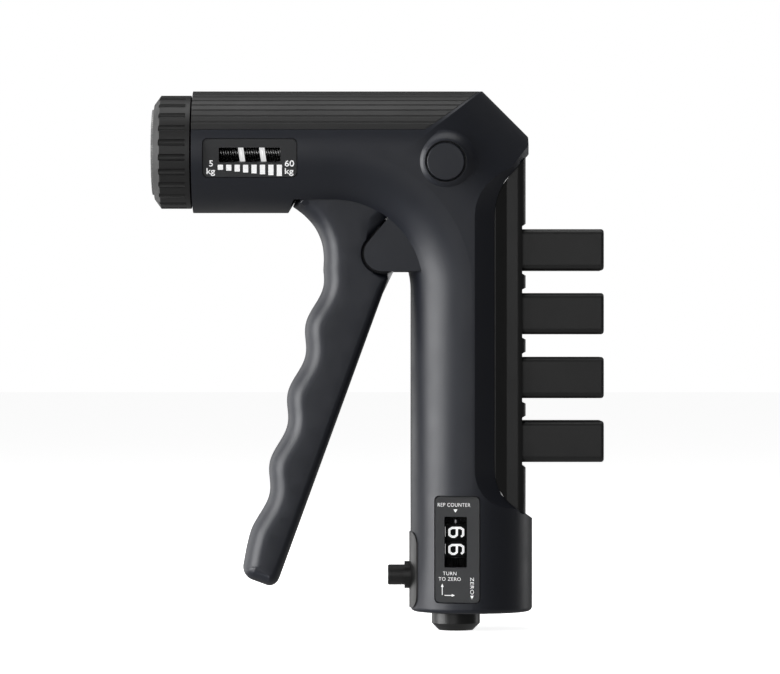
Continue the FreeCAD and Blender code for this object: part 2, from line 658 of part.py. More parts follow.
def make_handle_arm():
    return arm_outline(0.0, ARM_HALF_Y).cut(rod_y(PIVOT_X, PIVOT_Z, PIN_R + RUN_GAP, -20, 20))


def make_handle_grip():
    grip = grip_face().extrude(V(0, 2 * GRIP_HALF_Y, 0))
    grip.translate(V(0, -GRIP_HALF_Y, 0))
    grip = grip.fuse(rod_y(PIVOT_X, PIVOT_Z, 6.4, -GRIP_HALF_Y, GRIP_HALF_Y))
    cuts = []
    for side in (-1, 1):
        low, high = sorted((side * (CHEEK_IN - 0.3), side * (GRIP_HALF_Y + 1)))
        cuts.append(cheek_outline(0.8, low, high))
        closed = cheek_outline(0.4, low, high)
        closed.rotate(V(PIVOT_X, 0, PIVOT_Z), V(0, 1, 0), HANDLE_TRAVEL_DEG)
        cuts.append(closed)
        cuts.append(block((PIVOT_X + 2.0, 20), (low, high), (PIVOT_Z, 140)))
    cuts.append(arm_outline(0.05, ARM_HALF_Y + 0.05))
    cuts.append(rod_y(PIVOT_X, PIVOT_Z, PIN_R + RUN_GAP, -20, 20))
    return biggest(grip.removeSplitter().cut(cuts))


# Finger keys


def make_key_housing():
    corners = facet_corners(HOUSING_X)
    front = plate(corners, -HOUSING_HALF_Y, HOUSING_HALF_Y)
    half = [(20.0, HOUSING_HALF_Y, 0), (HOUSING_X + 0.3, HOUSING_HALF_Y, 0),
            (HOUSING_BAND_X, HOUSING_BAND_Y, 1.0), (HOUSING_REAR_X, HOUSING_BAND_Y, HOUSING_ROUND)]
    mirrored = [(x, -y, r) for x, y, r in reversed(half)]
    column = outline(half + mirrored).extrude(V(0, 200, 0))
    column.rotate(V(0, 0, 0), V(1, 0, 0), 90)
    housing = front.common(column).common(block((0, 60), (-30, 30), (36.0, 148.0)))
    tang = block((34.2, 39.0), (-11.0, 11.0), (50.0, 127.5))
    housing = housing.fuse(tang)
    cuts = []
    for z in KEY_Z:
        half_h = KEY_HALF_H + KEY_GAP
        half_w = KEY_HALF_W + KEY_GAP
        cuts.append(block((30.0, 60.0), (-half_w, half_w), (z - half_h, z + half_h)))
        cuts.append(block((30.0, 36.4), (-half_w, half_w), (z - half_h - 1.2, z + half_h + 1.2)))
        cuts.append(key_mouth(half_w, half_h, z))
    return biggest(housing.removeSplitter().cut(cuts))


def key_mouth(half_w, half_h, z):
    """Bevelled funnel round a key's opening."""
    narrow = outline(rectangle((-half_w, half_w), (-half_h, half_h), 0))
    wide_w = half_w + KEY_MOUTH_FLARE_W
    wide_h = half_h + KEY_MOUTH_FLARE_H
    wide = outline(rectangle((-wide_w, wide_w), (-wide_h, wide_h), 0))
    wide.translate(V(0, -KEY_MOUTH_DEPTH - 0.01, 0))
    mouth = Part.makeLoft([narrow.OuterWire, wide.OuterWire], True, True)
    mouth.rotate(V(0, 0, 0), V(0, 0, 1), 90)
    mouth.translate(V(HOUSING_REAR_X - KEY_MOUTH_DEPTH, 0, z))
    return mouth


def make_finger_key(z):
    body = block(KEY_X, (-KEY_HALF_W, KEY_HALF_W), (z - KEY_HALF_H, z + KEY_HALF_H))
    long_edges = [edge for edge in body.Edges if edge.BoundBox.XLength > 1]
    body = body.makeFillet(KEY_EDGE_ROUND, long_edges)
    tip = [edge for edge in body.Edges if edge.BoundBox.XMin > KEY_X[1] - 0.01]
    body = body.makeFillet(KEY_TIP_ROUND, tip)
    flange_h = KEY_HALF_H + 0.9
    flange = block((KEY_X[0], KEY_X[0] + 2.0), (-KEY_HALF_W, KEY_HALF_W), (z - flange_h, z + flange_h))
    room = block((KEY_X[0] - 1, 52.0), (-7.6, 7.6), (z - 4.4, z + 4.4))
    return body.fuse(flange).cut(room)


def make_key_spring(z):
    return helix(*KEY_SPRING_X, KEY_SPRING_TURNS, KEY_SPRING_R, KEY_SPRING_WIRE_R, 0.0, z)


def make_key_guide():
    wall = block((14.8, 16.6), (-7.8, 7.8), (50.5, 126.0))
    bosses = [rod_x(0, z, 2.3, 16.6, 19.5) for z in KEY_Z]
    cups = [rod_x(0, z, 4.2, 16.6, KEY_SPRING_X[0]) for z in KEY_Z]
    return wall.fuse(bosses + cups)


# Counter


def make_counter_plate():
    w = (-COUNTER_HALF_W + PLATE_GAP, COUNTER_HALF_W - PLATE_GAP)
    z = (COUNTER_Z[0] + PLATE_GAP, COUNTER_Z[1] - PLATE_GAP)
    face = counter_slab(w, z, PLATE_ROUND, COUNTER_FACE - PLATE_THICK, COUNTER_FACE)
    return face.cut(counter_slab(COUNTER_WINDOW_W, COUNTER_WINDOW_Z, 0.4, COUNTER_FACE - 5, COUNTER_FACE + 1))


def make_counter_lens():
    w = (COUNTER_WINDOW_W[0] + 0.05, COUNTER_WINDOW_W[1] - 0.05)
    z = (COUNTER_WINDOW_Z[0] + 0.05, COUNTER_WINDOW_Z[1] - 0.05)
    return counter_slab(w, z, 0.35, COUNTER_FACE - 1.2, COUNTER_FACE - 0.5)


def make_counter_frame():
    floor = block((19.6, 33.0), (-9.0, 7.0), (11.6, 13.0))
    roof = block((19.0, 33.0), (-9.0, 7.0), (34.4, 35.8))
    back = block((31.6, 33.0), (5.2, 7.0), (11.6, 35.8))
    seat = block((20.0, 21.2), (-1.0, 6.0), (13.0, 21.0))
    bar = block((19.0, 33.0), (5.2, 7.0), (13.0, 15.0))
    holes = [rod_z(AXLE_X, AXLE_Y, AXLE_R + RUN_GAP, 11, 36), rod_x(0, PLUNGER_Z, 1.8, 19, 22)]
    return join([floor, roof, back, seat, bar]).cut(holes)


def make_number_wheel(z):
    wheel = rod_z(AXLE_X, AXLE_Y, WHEEL_R, z - WHEEL_HEIGHT / 2, z + WHEEL_HEIGHT / 2)
    dish = rod_z(AXLE_X, AXLE_Y, WHEEL_R - 1.4, z + WHEEL_HEIGHT / 2 - 1.2, z + WHEEL_HEIGHT / 2)
    dish = dish.cut(rod_z(AXLE_X, AXLE_Y, 3.0, z, z + WHEEL_HEIGHT))
    return wheel.cut([dish, rod_z(AXLE_X, AXLE_Y, AXLE_R + RUN_GAP, 0, 60)])


def make_ratchet():
    """Ten-tooth ratchet under the units wheel."""
    teeth = []
    for i in range(10):
        for reach, step in ((3.2, 0.0), (2.5, 0.06)):
            angle = 2 * math.pi * (i / 10 + step)
            teeth.append(V(AXLE_X + reach * math.cos(angle), AXLE_Y + reach * math.sin(angle), 15.0))
    rim = Part.Face(Part.makePolygon(teeth + teeth[:1]))
    return rim.extrude(V(0, 0, 7.4)).cut(rod_z(AXLE_X, AXLE_Y, AXLE_R + RUN_GAP, 0, 60))


def make_reset_knob():
    knob = rod_z(AXLE_X, AXLE_Y, RESET_R, 0.0, RESET_TOP)
    knob = knob.makeChamfer(2.2, [edge for edge in knob.Edges if edge.BoundBox.ZMax < 0.01])
    return knob.cut(rod_z(AXLE_X, AXLE_Y, AXLE_R, 2.0, RESET_TOP + 1))


def make_counter_axle():
    return rod_z(AXLE_X, AXLE_Y, AXLE_R, 2.0, 36.6)


def pad_region(grow):
    """Curved pad on the front of the base, round the plunger."""
    low, high = PAD_Z[0] - grow, PAD_Z[1] + grow
    ring = rod_z(PILLAR_X, 0, TUBE_R + 0.4, low, high)
    ring = ring.cut(rod_z(PILLAR_X, 0, TUBE_R - 1.2 - grow, 0, 40))
    corners = rectangle((-8.9 - grow, 8.9 + grow), (low, high), 4.0)
    face = plate(corners, 0, 30)
    face.rotate(V(0, 0, 0), V(0, 0, 1), 90)
    face.translate(V(PILLAR_X, 0, 0))
    return ring.common(face)


def make_plunger_pad():
    return pad_region(0.0).cut(rod_x(0, PLUNGER_Z, COLLAR_R + SEAM, 0, 20))


def make_plunger_collar():
    collar = rod_x(0, PLUNGER_Z, COLLAR_R, 8.6, 14.2)
    return collar.cut(rod_x(0, PLUNGER_Z, PLUNGER_R + RUN_GAP, 8, 15))


def make_counter_plunger():
    button = rod_x(0, PLUNGER_Z, PLUNGER_R, PLUNGER_TIP_X, 14.5)
    tip = [edge for edge in button.Edges if edge.BoundBox.XMax < PLUNGER_TIP_X + 0.01]
    button = button.makeFillet(0.5, tip)
    shoulder = rod_x(0, PLUNGER_Z, 4.1, 14.5, 15.6)
    stem = rod_x(0, PLUNGER_Z, 1.5, 15.6, 19.6)
    return join([button, shoulder, stem])


def make_plunger_spring():
    return helix(15.6, 20.0, 3.5, 2.5, 0.4, 0.0, PLUNGER_Z)


def write(name, shape):
    if not shape.isValid():
        print("invalid shape:", name)
    shape.exportStep(os.path.join("parts", name + ".step"))
    print(name, len(shape.Solids), round(shape.Volume, 1))


def main():
    os.makedirs("parts", exist_ok=True)
    left_shell, right_shell = make_shells()
    write("left_shell", left_shell)
    write("right_shell", right_shell)
    write("top_cover", make_top_cover())
    write("shell_screws", make_shell_screws())
    write("gauge_plate", make_gauge_plate())
    write("gauge_lens", make_gauge_lens())
    write("spring_tube", make_spring_tube())
    write("screw_bush", make_screw_bush())
    write("tension_knob", make_tension_knob())
    write("knob_end_cap", make_knob_end_cap())
    write("lead_screw", make_lead_screw())
    write("screw_clip", make_screw_clip())
    write("spring_nut", make_spring_nut())
    write("spring_cup", make_spring_cup())
    write("main_spring", make_main_spring())
    write("corner_bolt", make_corner_bolt())
    write("corner_nut", make_corner_nut())
    write("left_corner_cap", make_corner_cap(-1))
    write("right_corner_cap", make_corner_cap(1))
    write("left_hinge_cheek", make_cheek(-1))
    write("right_hinge_cheek", make_cheek(1))
    write("handle_pin", make_handle_pin())
    write("handle_arm", make_handle_arm())
    write("handle_grip", make_handle_grip())
    write("key_housing", make_key_housing())
    write("key_guide", make_key_guide())
    for i, z in enumerate(KEY_Z):
        write("finger_key_" + str(i + 1), make_finger_key(z))
        write("key_spring_" + str(i + 1), make_key_spring(z))
    write("counter_plate", make_counter_plate())
    write("counter_lens", make_counter_lens())
    write("counter_frame", make_counter_frame())
    write("units_wheel", make_number_wheel(WHEEL_Z[0]))
    write("tens_wheel", make_number_wheel(WHEEL_Z[1]))
    write("count_ratchet", make_ratchet())
    write("reset_knob", make_reset_knob())
    write("counter_axle", make_counter_axle())
    write("plunger_pad", make_plunger_pad())
    write("plunger_collar", make_plunger_collar())
    write("counter_plunger", make_counter_plunger())
    write("plunger_spring", make_plunger_spring())


main()
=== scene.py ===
"""Looks of the adjustable hand gripper with finger keys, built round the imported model.

Lengths are written in millimetres and turned into metres by MM. -Y is the side with the gauge and counter.
"""

import json
import math

import bmesh
import bpy
import numpy as np
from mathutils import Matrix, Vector
from mathutils.geometry import delaunay_2d_cdt


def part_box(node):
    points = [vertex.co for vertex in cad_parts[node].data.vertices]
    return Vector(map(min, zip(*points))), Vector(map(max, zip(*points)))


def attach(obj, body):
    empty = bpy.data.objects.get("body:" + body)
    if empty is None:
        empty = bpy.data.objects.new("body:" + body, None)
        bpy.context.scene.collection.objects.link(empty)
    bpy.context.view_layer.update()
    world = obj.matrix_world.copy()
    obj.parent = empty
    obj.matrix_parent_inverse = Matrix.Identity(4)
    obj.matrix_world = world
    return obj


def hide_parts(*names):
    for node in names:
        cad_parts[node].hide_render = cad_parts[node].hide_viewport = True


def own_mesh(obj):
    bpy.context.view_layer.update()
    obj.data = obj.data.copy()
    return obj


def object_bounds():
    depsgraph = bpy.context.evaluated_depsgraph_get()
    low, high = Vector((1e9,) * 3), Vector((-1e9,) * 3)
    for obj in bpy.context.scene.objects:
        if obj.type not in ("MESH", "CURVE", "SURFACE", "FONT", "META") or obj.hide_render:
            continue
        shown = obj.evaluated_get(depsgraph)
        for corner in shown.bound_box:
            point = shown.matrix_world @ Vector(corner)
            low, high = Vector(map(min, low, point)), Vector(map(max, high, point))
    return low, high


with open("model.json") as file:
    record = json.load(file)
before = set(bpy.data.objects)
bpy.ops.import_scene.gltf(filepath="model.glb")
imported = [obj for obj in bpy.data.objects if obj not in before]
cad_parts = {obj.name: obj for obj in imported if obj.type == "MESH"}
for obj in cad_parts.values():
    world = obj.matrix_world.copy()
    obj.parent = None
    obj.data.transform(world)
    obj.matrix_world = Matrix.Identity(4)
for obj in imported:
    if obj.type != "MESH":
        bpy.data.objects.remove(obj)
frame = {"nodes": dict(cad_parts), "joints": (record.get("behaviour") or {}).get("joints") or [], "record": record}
cad_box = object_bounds()

MM = 0.001
JOINTS = {joint["name"]: joint for joint in frame["joints"]}


def centre(node):
    low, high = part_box(node)
    return (low + high) / 2 / MM


def low(node):
    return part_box(node)[0] / MM


def high(node):
    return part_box(node)[1] / MM


PIVOT = Vector(JOINTS["handle_hinge"]["pos_m"]) / MM
BARREL_Z = JOINTS["knob_turn"]["pos_m"][2] / MM
WHEEL_AXIS = Vector(JOINTS["units_turn"]["pos_m"]) / MM
PILLAR_X = 29.5


# Materials


class Look:
    """A procedural material under construction: one Principled shader and helpers that feed it."""

    def __init__(self, name, colour, roughness, metallic=0.0):
        self.material = bpy.data.materials.new(name)
        self.material.use_nodes = True
        self.nodes = self.material.node_tree.nodes
        self.links = self.material.node_tree.links
        self.shader = self.nodes["Principled BSDF"]
        self.colour = colour
        self.roughness = roughness
        self.set("Base Color", (*colour, 1.0))
        self.set("Roughness", roughness)
        self.set("Metallic", metallic)
        self.place = self.nodes.new("ShaderNodeTexCoord").outputs["Object"]
        self.normal = None

    def set(self, socket, value):
        self.shader.inputs[socket].default_value = value

    def noise(self, size_mm, detail=3.0, roughness=0.5, stretch=None):
        """Noise whose features are about size_mm across; stretch scales the coordinates per axis."""
        place = self.place
        if stretch:
            mapping = self.nodes.new("ShaderNodeMapping")
            mapping.inputs["Scale"].default_value = stretch
            self.links.new(place, mapping.inputs["Vector"])
            place = mapping.outputs["Vector"]
        node = self.nodes.new("ShaderNodeTexNoise")
        node.inputs["Scale"].default_value = 1.0 / (size_mm * MM)
        node.inputs["Detail"].default_value = detail
        node.inputs["Roughness"].default_value = roughness
        self.links.new(place, node.inputs["Vector"])
        return node.outputs["Fac"]

    def spots(self, size_mm):
        """Cell noise, for speckles about size_mm apart."""
        node = self.nodes.new("ShaderNodeTexVoronoi")
        node.inputs["Scale"].default_value = 1.0 / (size_mm * MM)
        self.links.new(self.place, node.inputs["Vector"])
        return node.outputs["Distance"]

    def spread(self, source, low_out, high_out, low_in=0.3, high_in=0.7):
        node = self.nodes.new("ShaderNodeMapRange")
        node.inputs["From Min"].default_value = low_in
        node.inputs["From Max"].default_value = high_in
        node.inputs["To Min"].default_value = low_out
        node.inputs["To Max"].default_value = high_out
        self.links.new(source, node.inputs["Value"])
        return node.outputs["Result"]

    def bump(self, source, strength, depth_mm):
        node = self.nodes.new("ShaderNodeBump")
        node.inputs["Strength"].default_value = strength
        node.inputs["Distance"].default_value = depth_mm * MM
        self.links.new(source, node.inputs["Height"])
        if self.normal:
            self.links.new(self.normal, node.inputs["Normal"])
        self.normal = node.outputs["Normal"]
        self.links.new(self.normal, self.shader.inputs["Normal"])

    def vary_roughness(self, source, amount):
        level = self.spread(source, self.roughness - amount, self.roughness + amount)
        self.links.new(level, self.shader.inputs["Roughness"])

    def vary_colour(self, source, factor, low_in=0.3, high_in=0.7):
        """Runs the colour from itself to itself times factor."""
        node = self.nodes.new("ShaderNodeMix")
        node.data_type = "RGBA"
        node.inputs["A"].default_value = (*self.colour, 1.0)
        node.inputs["B"].default_value = (*[c * factor for c in self.colour], 1.0)
        self.links.new(self.spread(source, 0.0, 1.0, low_in, high_in), node.inputs["Factor"])
        self.links.new(node.outputs["Result"], self.shader.inputs["Base Color"])


def moulded(name, colour, roughness, grain_mm=0.35, grain=0.25, specular=0.5):
    """Moulded plastic with a fine eroded grain and slight handling marks."""
    look = Look(name, colour, roughness)
    look.set("Specular IOR Level", specular)
    look.bump(look.noise(grain_mm, 2.0, 0.6), grain, 0.02)
    look.bump(look.noise(9.0, 2.0), 0.06, 0.05)
    look.vary_roughness(look.noise(14.0, 5.0, 0.65), 0.05)
    look.vary_colour(look.noise(22.0, 4.0), 1.12)
    return look.material


def end_cap_plastic():
    look = Look("end_cap", (0.5, 0.5, 0.5), 0.5, 0.5)
    look.vary_colour(look.spots(0.45), 0.62, 0.15, 0.55)
    look.bump(look.spots(0.4), 0.35, 0.05)
    return look.material


def metal(name, colour, roughness, stretch=(1, 1, 1)):
    return metal_look(name, colour, roughness, stretch).material


def gauge_spring_steel():
    """Bright steel with painted light: emission on its window side stands in for the studio light that hardly
    reaches it there.
    """
    look = metal_look("gauge_spring", (0.95, 0.95, 0.95), 0.4, (1, 1, 1))
    look.set("Emission Color", (1.0, 1.0, 1.0, 1.0))
    axes = look.nodes.new("ShaderNodeSeparateXYZ")
    look.links.new(look.place, axes.inputs["Vector"])
    # Painted light: the coil emits on its window side, below Y = -7.4 mm, fading out by -6.2 mm.
    lift = look.spread(axes.outputs["Y"], 0.75, 0.0, -7.4 * MM, -6.2 * MM)
    look.links.new(lift, look.shader.inputs["Emission Strength"])
    return look.material


def screw_thread_steel():
    """Steel with painted shade in the thread grooves: bright at the crests, black at the roots, told apart by the
    distance from the screw's axis.
    """
    look = Look("screw_steel", (0.95, 0.95, 0.95), 0.22, 1.0)
    centred = look.nodes.new("ShaderNodeVectorMath")
    centred.operation = "SUBTRACT"
    centred.inputs[1].default_value = (0, 0, BARREL_Z * MM)
    flat = look.nodes.new("ShaderNodeVectorMath")
    flat.operation = "MULTIPLY"
    flat.inputs[1].default_value = (0, 1, 1)
    radius = look.nodes.new("ShaderNodeVectorMath")
    radius.operation = "LENGTH"
    look.links.new(look.place, centred.inputs[0])
    look.links.new(centred.outputs["Vector"], flat.inputs[0])
    look.links.new(flat.outputs["Vector"], radius.inputs[0])
    # Painted shade: the colour darkens to black from 2.47 mm down to 2.3 mm from the axis, in the thread's roots.
    look.vary_colour(radius.outputs["Value"], 0.0, 2.47 * MM, 2.3 * MM)
    look.bump(look.noise(0.5, 2.0), 0.1, 0.01)
    return look.material


def metal_look(name, colour, roughness, stretch):
    look = Look(name, colour, roughness, 1.0)
    grain = look.noise(0.5, 3.0, 0.6, stretch)
    look.bump(grain, 0.15, 0.01)
    look.vary_roughness(look.noise(3.0, 3.0), 0.05)
    look.vary_colour(look.noise(5.0, 3.0), 0.85)
    return look


def window_plastic():
    look = Look("clear_window", (0.02, 0.02, 0.02), 0.06)
    look.set("Alpha", 0.05)
    look.vary_roughness(look.noise(6.0, 3.0), 0.03)
    look.bump(look.noise(8.0, 2.0), 0.05, 0.02)
    return look.material


def print_ink_and_painted_glow(name, colour, painted_glow):
    # Painted light: the emission lights the print up beyond what the studio lamps give it.
    look = Look(name, colour, 0.5)
    look.set("Emission Color", (*colour, 1.0))
    look.set("Emission Strength", painted_glow)
    look.vary_colour(look.noise(0.6, 2.0), 0.93)
    look.bump(look.noise(0.15, 2.0), 0.15, 0.01)
    return look.material


LOOKS = {
    "body_plastic": moulded("body_plastic", (0.0115, 0.0135, 0.0205), 0.44),
    "cover_plastic": moulded("cover_plastic", (0.022, 0.022, 0.022), 0.48, 0.3, 0.3),
    "knob_plastic": moulded("knob_plastic", (0.0125, 0.0125, 0.0125), 0.46, 0.3, 0.3),
    "end_cap": end_cap_plastic(),
    "key_plastic": moulded("key_plastic", (0.0115, 0.0115, 0.0115), 0.42, 0.3, 0.2),
    "gloss_black": moulded("gloss_black", (0.008, 0.008, 0.008), 0.36, 0.5, 0.08),
    "plate_print": moulded("plate_print", (0.026, 0.027, 0.029), 0.42, 0.25, 0.2),
    "wheel_print": moulded("wheel_print", (0.002, 0.002, 0.002), 0.6, specular=0.15),
    "clear_window": window_plastic(),
    "inner_plastic": moulded("inner_plastic", (0.004, 0.004, 0.004), 0.6, specular=0.2),
    "brass": metal("brass", (0.62, 0.45, 0.2), 0.3),
    "steel": metal("steel", (0.5, 0.5, 0.51), 0.32, (1, 6, 6)),
    "spring_steel": metal("spring_steel", (0.82, 0.82, 0.82), 0.28),
    "gauge_spring": gauge_spring_steel(),
    "screw_steel": screw_thread_steel(),
    # The white is the print's own colour; the emission on both inks is painted light, stronger on the counter
    # wheels inside their window.
    "ink": print_ink_and_painted_glow("ink", (0.92, 0.92, 0.92), 0.35),
    "wheel_ink": print_ink_and_painted_glow("wheel_ink", (0.95, 0.95, 0.95), 0.75),
}


def dress_cad_nodes():
    slots = {part["node"]: part["material_slot"] for part in frame["record"]["subparts"]}
    for name, node in frame["nodes"].items():
        node.data.materials.clear()
        look = "knob_plastic" if name == "tension_knob" else slots[name]
        node.data.materials.append(LOOKS[look])


# Mesh helpers


def add_mesh(name, verts, faces, look, body, smooth=True):
    """New piece from points in millimetres; it rides on body and takes its finish from look."""
    mesh = bpy.data.meshes.new(name)
    mesh.from_pydata([Vector(v) * MM for v in verts], [], faces)
    mesh.validate()
    work = bmesh.new()
    work.from_mesh(mesh)
    bmesh.ops.recalc_face_normals(work, faces=work.faces)
    work.to_mesh(mesh)
    work.free()
    for polygon in mesh.polygons:
        polygon.use_smooth = smooth
    mesh.materials.append(LOOKS[look])
    piece = bpy.data.objects.new(name, mesh)
    bpy.context.scene.collection.objects.link(piece)
    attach(piece, body)
    return piece


def strip_faces(rings, around, closed=True):
    """Quads between successive rings of equal length."""
    faces = []
    last = around if closed else around - 1
    for r in range(rings - 1):
        for i in range(last):
            j = (i + 1) % around
            faces.append((r * around + i, r * around + j, (r + 1) * around + j, (r + 1) * around + i))
    return faces


SPRING_PHASE = 0.34


def helix_tube(name, x0, x1, turns, coil_r, wire_r, y, z, look, body, phase=SPRING_PHASE):
    """Coil spring along +X as a round tube with flat-capped ends."""
    per_turn = 40
    around = 14
    count = int(turns * per_turn)
    verts = []
    for i in range(count + 1):
        angle = 2 * math.pi * (i / per_turn + phase)
        x = x0 + wire_r + (x1 - x0 - 2 * wire_r) * i / count
        out = Vector((0, -math.sin(angle), math.cos(angle)))
        along = Vector((1, 0, 0))
        spot = Vector((x, y, z)) + out * coil_r
        for k in range(around):
            turn = 2 * math.pi * k / around
            verts.append(spot + (out * math.cos(turn) + along * math.sin(turn)) * wire_r)
    faces = strip_faces(count + 1, around)
    faces.append(tuple(range(around)))
    faces.append(tuple(range(count * around, (count + 1) * around)))
    return add_mesh(name, verts, faces, look, body)


# Handle grip


FRONT_SLOPE = 0.26
GROOVE_PITCH = 21.55
GROOVE_DEPTH = 1.25
GROOVE_TOP = (-18.1, 106.4)
REAR_TOP = (3.4, 109.0)
REAR_LEAN = math.radians(20.0)
GRIP_FOOT_Z = 12.9
GRIP_FOOT_WIDTH = 11.4
CHEEK_GAP_R = 6.3
CHEEK_TOP = (3.45, 128.9)
CHEEK_SWEEP_R = 5.9
CHEEK_SWEEP_RUN = 3.7
RIM_DEPTH = 1.7


def front_x(z):
    down = GROOVE_TOP[1] - z
    return GROOVE_TOP[0] - FRONT_SLOPE * down + GROOVE_DEPTH * math.cos(2 * math.pi * down / GROOVE_PITCH)


def spline(points, step=0.5):
    """Smooth line through the points, as many short steps."""
    out = []
    count = len(points)
    for i in range(count - 1):
        p0 = points[max(i - 1, 0)]
        p1 = points[i]
        p2 = points[i + 1]
        p3 = points[min(i + 2, count - 1)]
        pieces = max(2, int((p2 - p1).length / step))
        for k in range(pieces):
            t = k / pieces
            a = 2 * p1
            b = p2 - p0
            c = 2 * p0 - 5 * p1 + 4 * p2 - p3
            d = -p0 + 3 * p1 - 3 * p2 + p3
            out.append((a + b * t + c * t * t + d * t ** 3) / 2)
    out.append(points[-1])
    return out


def arc(middle, r, start, end, count):
    """Points on an arc, with angles in degrees."""
    out = []
    for i in range(count + 1):
        angle = math.radians(start + (end - start) * i / count)
        out.append(Vector((middle[0] + r * math.cos(angle), middle[1] + r * math.sin(angle))))
    return out


def round_corner(before, corner, after, r, count=10):
    back = (before - corner).normalized()
    ahead = (after - corner).normalized()
    half = back.angle(ahead) / 2
    middle = corner + (back + ahead).normalized() * (r / math.sin(half))
    start = corner + back * (r / math.tan(half)) - middle
    end = corner + ahead * (r / math.tan(half)) - middle
    sweep = start.angle(end)
    out = []
    for i in range(count + 1):
        t = i / count
        turned = start * math.sin((1 - t) * sweep) + end * math.sin(t * sweep)
        out.append(middle + turned / math.sin(sweep))
    return out


def grip_outline():
    """Side outline of the grip with the rounding wanted at each point, as (point, radius)."""
    rear_top = Vector(REAR_TOP)
    down = Vector((-math.sin(REAR_LEAN), -math.cos(REAR_LEAN)))
    across = Vector((-math.cos(REAR_LEAN), math.sin(REAR_LEAN)))
    heel = rear_top + down * ((REAR_TOP[1] - GRIP_FOOT_Z) / math.cos(REAR_LEAN))
    toe = heel + across * GRIP_FOOT_WIDTH
    brow = [Vector((-26.1, 131.7)), Vector((-22.5, 128.9)), Vector((-19.3, 125.2)), Vector((-17.3, 120.8)),
            Vector((-16.6, 116.4))]
    wave = []
    z = 112.0
    while z > 34.0:
        wave.append(Vector((front_x(z), z)))
        z -= 1.2
    shin = [Vector((-39.1, 31.4)), Vector((-40.6, 26.0))]
    toe_arc = round_corner(shin[-1], toe, heel, 4.2)
    front = spline(brow + wave + shin + [toe_arc[0]])
    heel_arc = round_corner(toe, heel, rear_top, 3.2)
    rear = spline([heel_arc[-1], heel_arc[-1].lerp(rear_top, 0.5), rear_top - down * 0.2], 1.5)
    pivot = Vector((PIVOT[0], PIVOT[2]))
    closing = math.radians(JOINTS["handle_hinge"]["range_deg"][1])
    clear = Vector((math.sin(-closing), -math.cos(closing))) * CHEEK_SWEEP_R
    under = pivot + clear + Vector((math.cos(closing), -math.sin(closing))) * CHEEK_SWEEP_RUN
    diagonal = Vector(CHEEK_TOP) - pivot
    touch = math.degrees(math.atan2(diagonal.y, diagonal.x) + math.acos(CHEEK_GAP_R / diagonal.length))
    cheek = arc(pivot, CHEEK_GAP_R, -90 - math.degrees(closing), touch - 360, 40)
    shoulder = [Vector(CHEEK_TOP), Vector((CHEEK_TOP[0] - 0.2, CHEEK_TOP[1] + 2.2))]
    crown = arc((-13.5, 105.8), 30.6, 56.0, 112.0, 24)
    rows = [(front, 6.2), (toe_arc[1:], 5.0), (heel_arc, 3.0), (rear, 2.4), ([under], 0.5), (cheek, 0.35),
            (shoulder, 0.3), (crown, 0.3)]
    points = []
    radii = []
    for line, radius in rows:
        for point in line:
            if points and (point - points[-1]).length < 0.12:
                continue
            points.append(point)
            radii.append(radius)
    for _ in range(14):
        radii = [(radii[i - 1] + 2 * radii[i] + radii[(i + 1) % len(radii)]) / 4 for i in range(len(radii))]
    return points, radii


def edge_reach(places, ring, radii):
    """Distance from each place to the closed outline, and the rounding radius at its nearest point."""
    starts = np.array(ring)
    runs = np.roll(starts, -1, axis=0) - starts
    lengths = (runs ** 2).sum(axis=1)
    offsets = places[:, None, :] - starts[None, :, :]
    along = np.clip((offsets * runs[None]).sum(axis=2) / lengths[None], 0.0, 1.0)
    gaps = np.linalg.norm(offsets - along[:, :, None] * runs[None], axis=2)
    nearest = gaps.argmin(axis=1)
    rows = np.arange(len(places))
    share = along[rows, nearest]
    sizes = np.array(radii)
    size = sizes[nearest] * (1 - share) + np.roll(sizes, -1)[nearest] * share
    return gaps[rows, nearest], size


